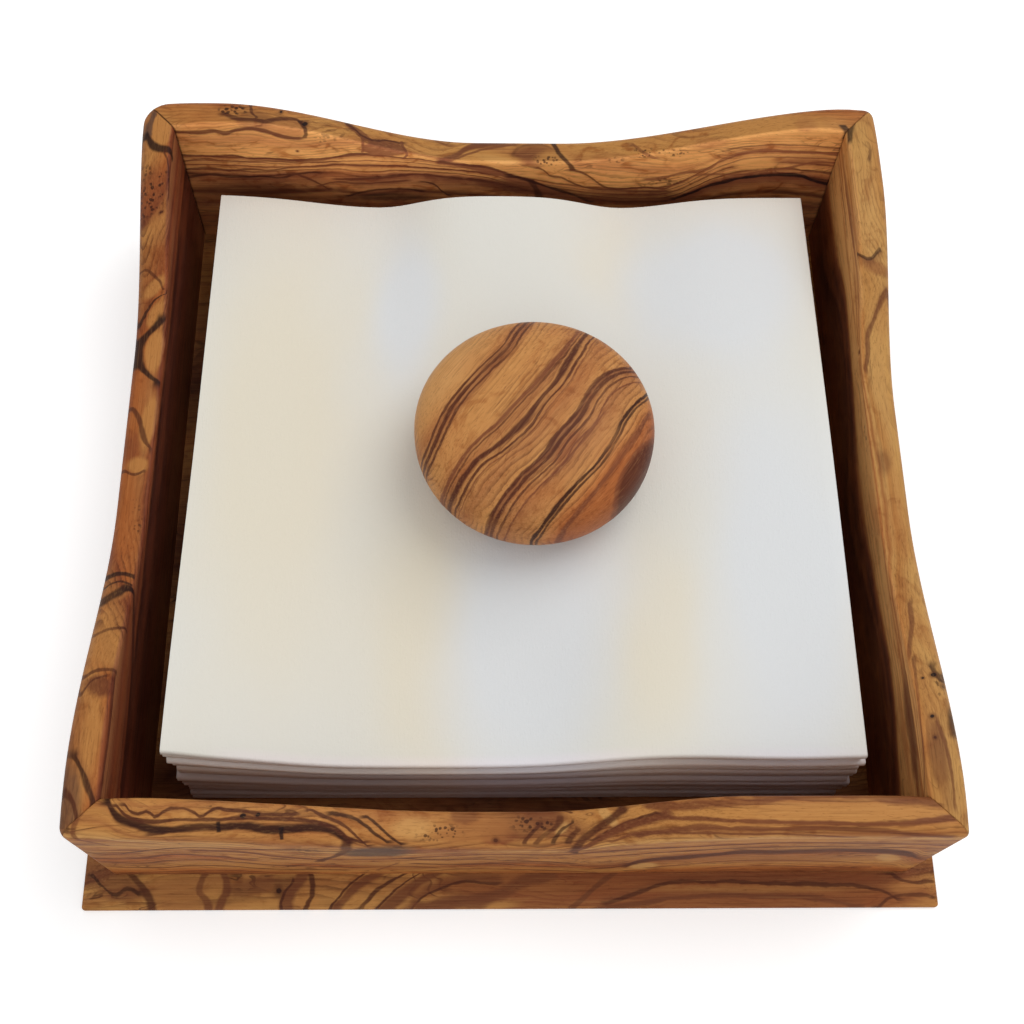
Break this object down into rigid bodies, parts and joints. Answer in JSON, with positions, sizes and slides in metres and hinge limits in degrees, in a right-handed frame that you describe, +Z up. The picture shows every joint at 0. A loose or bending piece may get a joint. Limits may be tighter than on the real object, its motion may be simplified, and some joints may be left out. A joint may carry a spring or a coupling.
{
  "type": "napkin holder",
  "caption": "Square wooden napkin holder with mitred walls, dipped rims and a wider base, holding folded paper napkins under a loose turned wooden weight.",
  "frame": {"origin": "middle of the base board's underside, which is the middle of the bottom of the bounding box", "axes": "+Z up out of the tray, +Y towards the back wall, +X towards the right wall; the napkins' thick folds face -Y"},
  "size_m": [0.2174, 0.2174, 0.0729],
  "materials": {
    "base_wood": "satin olive wood, darker board with ring figure",
    "front_wood": "satin olive wood with dark wavy veins",
    "back_wood": "satin olive wood with burl specks",
    "left_wood": "satin olive wood, orange brown",
    "right_wood": "satin olive wood, pale",
    "spline_wood": "bare planed wood",
    "weight_wood": "satin turned olive wood with slanting stripes",
    "screw_metal": "zinc plated",
    "paper": "matte embossed tissue paper"
  },
  "bodies": {
    "tray": {"base_board": "base_wood", "front_wall": "front_wood", "back_wall": "back_wood", "left_wall": "left_wood", "right_wall": "right_wood", "mitre_splines": "spline_wood", "base_screws": "screw_metal"},
    "stack": {"napkin_01": "paper", "napkin_02": "paper", "napkin_03": "paper", "napkin_04": "paper", "napkin_05": "paper", "napkin_06": "paper", "napkin_07": "paper", "napkin_08": "paper", "napkin_09": "paper", "napkin_10": "paper", "napkin_11": "paper", "napkin_12": "paper", "napkin_13": "paper", "napkin_14": "paper", "napkin_15": "paper"},
    "top_napkin": {"napkin_16": "paper"},
    "weight": {"napkin_weight": "weight_wood"}
  },
  "joints": [
    {"name": "stack_lift", "type": "slide", "parent": "tray", "child": "stack", "axis": [0, 0, 1], "range_m": [0, 0.07]},
    {"name": "top_napkin_lift", "type": "slide", "parent": "stack", "child": "top_napkin", "axis": [0, 0, 1], "range_m": [0, 0.05]},
    {"name": "weight_lift", "type": "slide", "parent": "top_napkin", "child": "weight", "axis": [0, 0, 1], "range_m": [0, 0.05]}
  ]
}
